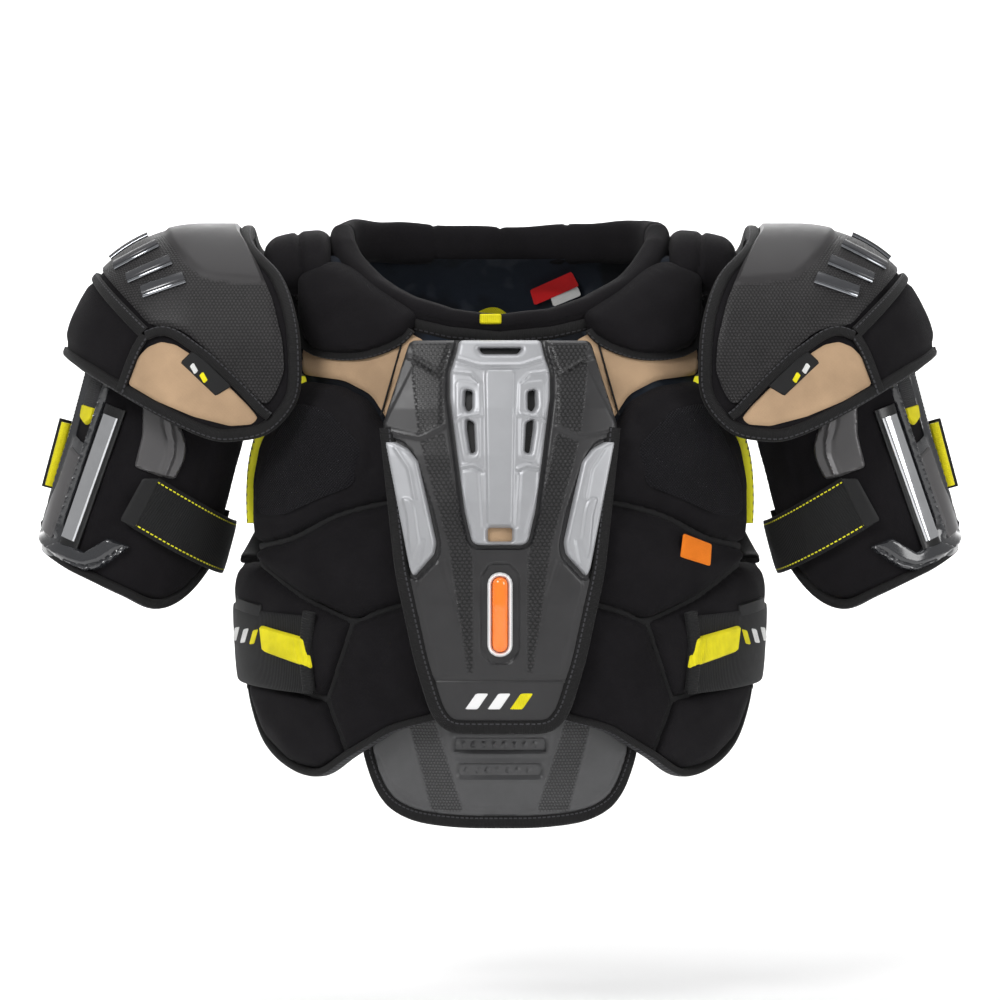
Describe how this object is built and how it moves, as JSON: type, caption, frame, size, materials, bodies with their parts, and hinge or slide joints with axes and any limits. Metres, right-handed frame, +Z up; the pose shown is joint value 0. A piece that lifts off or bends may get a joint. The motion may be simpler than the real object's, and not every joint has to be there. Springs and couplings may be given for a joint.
{
  "type": "ice hockey shoulder pads",
  "caption": "Padded vest with hard shoulder caps, sternum and belly guards, sliding bicep guards and elastic arm and rib straps.",
  "frame": {"origin": "middle of the neck opening, level with the collar's low point at the throat", "axes": "+Z up, the front faces -Y, +X is the wearer's left"},
  "size_m": [0.6514, 0.2712, 0.421],
  "materials": {
    "knit": "black knitted cloth over foam",
    "liner": "dark printed lining cloth",
    "binding": "black woven tape",
    "elastic": "black woven elastic",
    "yellow_web": "acid yellow woven tape",
    "label": "red and white satin label",
    "tan": "tan suede-like stretch cloth",
    "dark_plastic": "dark grey textured moulding",
    "grey_plastic": "grey satin moulding",
    "silver": "satin silver lacquered moulding",
    "white_plastic": "white moulding",
    "orange_plastic": "glossy orange moulding",
    "chrome": "metallised trim"
  },
  "bodies": {
    "vest": {"chest_base": "liner", "back_base": "liner", "collar_roll": "knit", "collar_loop": "yellow_web", "size_label": "label", "spine_pad": "knit", "spine_plate": "dark_plastic", "left_upper_chest_pad": "knit", "left_mid_chest_pad": "knit", "left_lower_chest_pad": "knit", "left_rib_pad": "knit", "left_hip_pad": "knit", "left_yoke_panel": "tan", "left_clavicle_pad": "knit", "left_shoulder_pad": "knit", "left_blade_pad": "knit", "left_lumbar_pad": "knit", "right_upper_chest_pad": "knit", "right_mid_chest_pad": "knit", "right_lower_chest_pad": "knit", "right_rib_pad": "knit", "right_hip_pad": "knit", "right_yoke_panel": "tan", "right_clavicle_pad": "knit", "right_shoulder_pad": "knit", "right_blade_pad": "knit", "right_lumbar_pad": "knit"},
    "sternum_guard": {"sternum_foam": "knit", "sternum_plate": "dark_plastic", "sternum_binding": "binding", "sternum_vent_insert": "silver", "sternum_wing_inserts": "silver", "capsule_bezel": "white_plastic", "impact_capsule": "orange_plastic"},
    "belly_guard": {"belly_foam": "knit", "belly_plate": "grey_plastic", "belly_binding": "binding"},
    "left_shoulder_cap": {"left_cap_foam": "knit", "left_cap_binding": "binding", "left_cap_shell": "dark_plastic", "left_cap_vent": "tan"},
    "left_hanger": {"left_hanger_straps": "elastic"},
    "left_bicep_guard": {"left_guard_pad": "knit", "left_guard_shell": "grey_plastic", "left_guard_bar": "chrome"},
    "left_arm_strap": {"left_arm_strap": "elastic"},
    "left_rib_strap": {"left_rib_strap": "elastic", "left_rib_pull_tab": "yellow_web"},
    "right_shoulder_cap": {"right_cap_foam": "knit", "right_cap_binding": "binding", "right_cap_shell": "dark_plastic", "right_cap_vent": "tan"},
    "right_hanger": {"right_hanger_straps": "elastic"},
    "right_bicep_guard": {"right_guard_pad": "knit", "right_guard_shell": "grey_plastic", "right_guard_bar": "chrome"},
    "right_arm_strap": {"right_arm_strap": "elastic"},
    "right_rib_strap": {"right_rib_strap": "elastic", "right_rib_pull_tab": "yellow_web"}
  },
  "joints": [
    {"name": "sternum_guard_lift", "type": "hinge", "parent": "vest", "child": "sternum_guard", "pos_m": [0, -0.0984, -0.01], "axis": [-1, 0, 0], "range_deg": [0, 20]},
    {"name": "belly_guard_tuck", "type": "hinge", "parent": "vest", "child": "belly_guard", "pos_m": [0, -0.11, -0.236], "axis": [1, 0, 0], "range_deg": [0, 25]},
    {"name": "left_cap_lift", "type": "hinge", "parent": "vest", "child": "left_shoulder_cap", "pos_m": [0.171, 0, 0.072], "axis": [0, -1, 0], "range_deg": [0, 45]},
    {"name": "left_hanger_swing", "type": "hinge", "parent": "left_shoulder_cap", "child": "left_hanger", "pos_m": [0.226, -0.0083, 0.01], "axis": [1, 0, 0], "range_deg": [-8, 8]},
    {"name": "left_guard_slide", "type": "slide", "parent": "left_hanger", "child": "left_bicep_guard", "axis": [0.2588, 0, -0.9659], "range_m": [0, 0.02]},
    {"name": "left_arm_strap_open", "type": "hinge", "parent": "left_bicep_guard", "child": "left_arm_strap", "pos_m": [0.19484, -0.0053, -0.15815], "axis": [0.2588, 0, -0.9659], "range_deg": [0, 30]},
    {"name": "left_rib_strap_open", "type": "hinge", "parent": "vest", "child": "left_rib_strap", "pos_m": [0.1866, 0.012, -0.2245], "axis": [0, 0, 1], "range_deg": [0, 50]},
    {"name": "right_cap_lift", "type": "hinge", "parent": "vest", "child": "right_shoulder_cap", "pos_m": [-0.171, 0, 0.072], "axis": [0, 1, 0], "range_deg": [0, 45]},
    {"name": "right_hanger_swing", "type": "hinge", "parent": "right_shoulder_cap", "child": "right_hanger", "pos_m": [-0.226, -0.0083, 0.01], "axis": [1, 0, 0], "range_deg": [-8, 8]},
    {"name": "right_guard_slide", "type": "slide", "parent": "right_hanger", "child": "right_bicep_guard", "axis": [-0.2588, 0, -0.9659], "range_m": [0, 0.02]},
    {"name": "right_arm_strap_open", "type": "hinge", "parent": "right_bicep_guard", "child": "right_arm_strap", "pos_m": [-0.19484, -0.0053, -0.15815], "axis": [0.2588, 0, 0.9659], "range_deg": [0, 30]},
    {"name": "right_rib_strap_open", "type": "hinge", "parent": "vest", "child": "right_rib_strap", "pos_m": [-0.1866, 0.012, -0.2245], "axis": [0, 0, -1], "range_deg": [0, 50]}
  ]
}
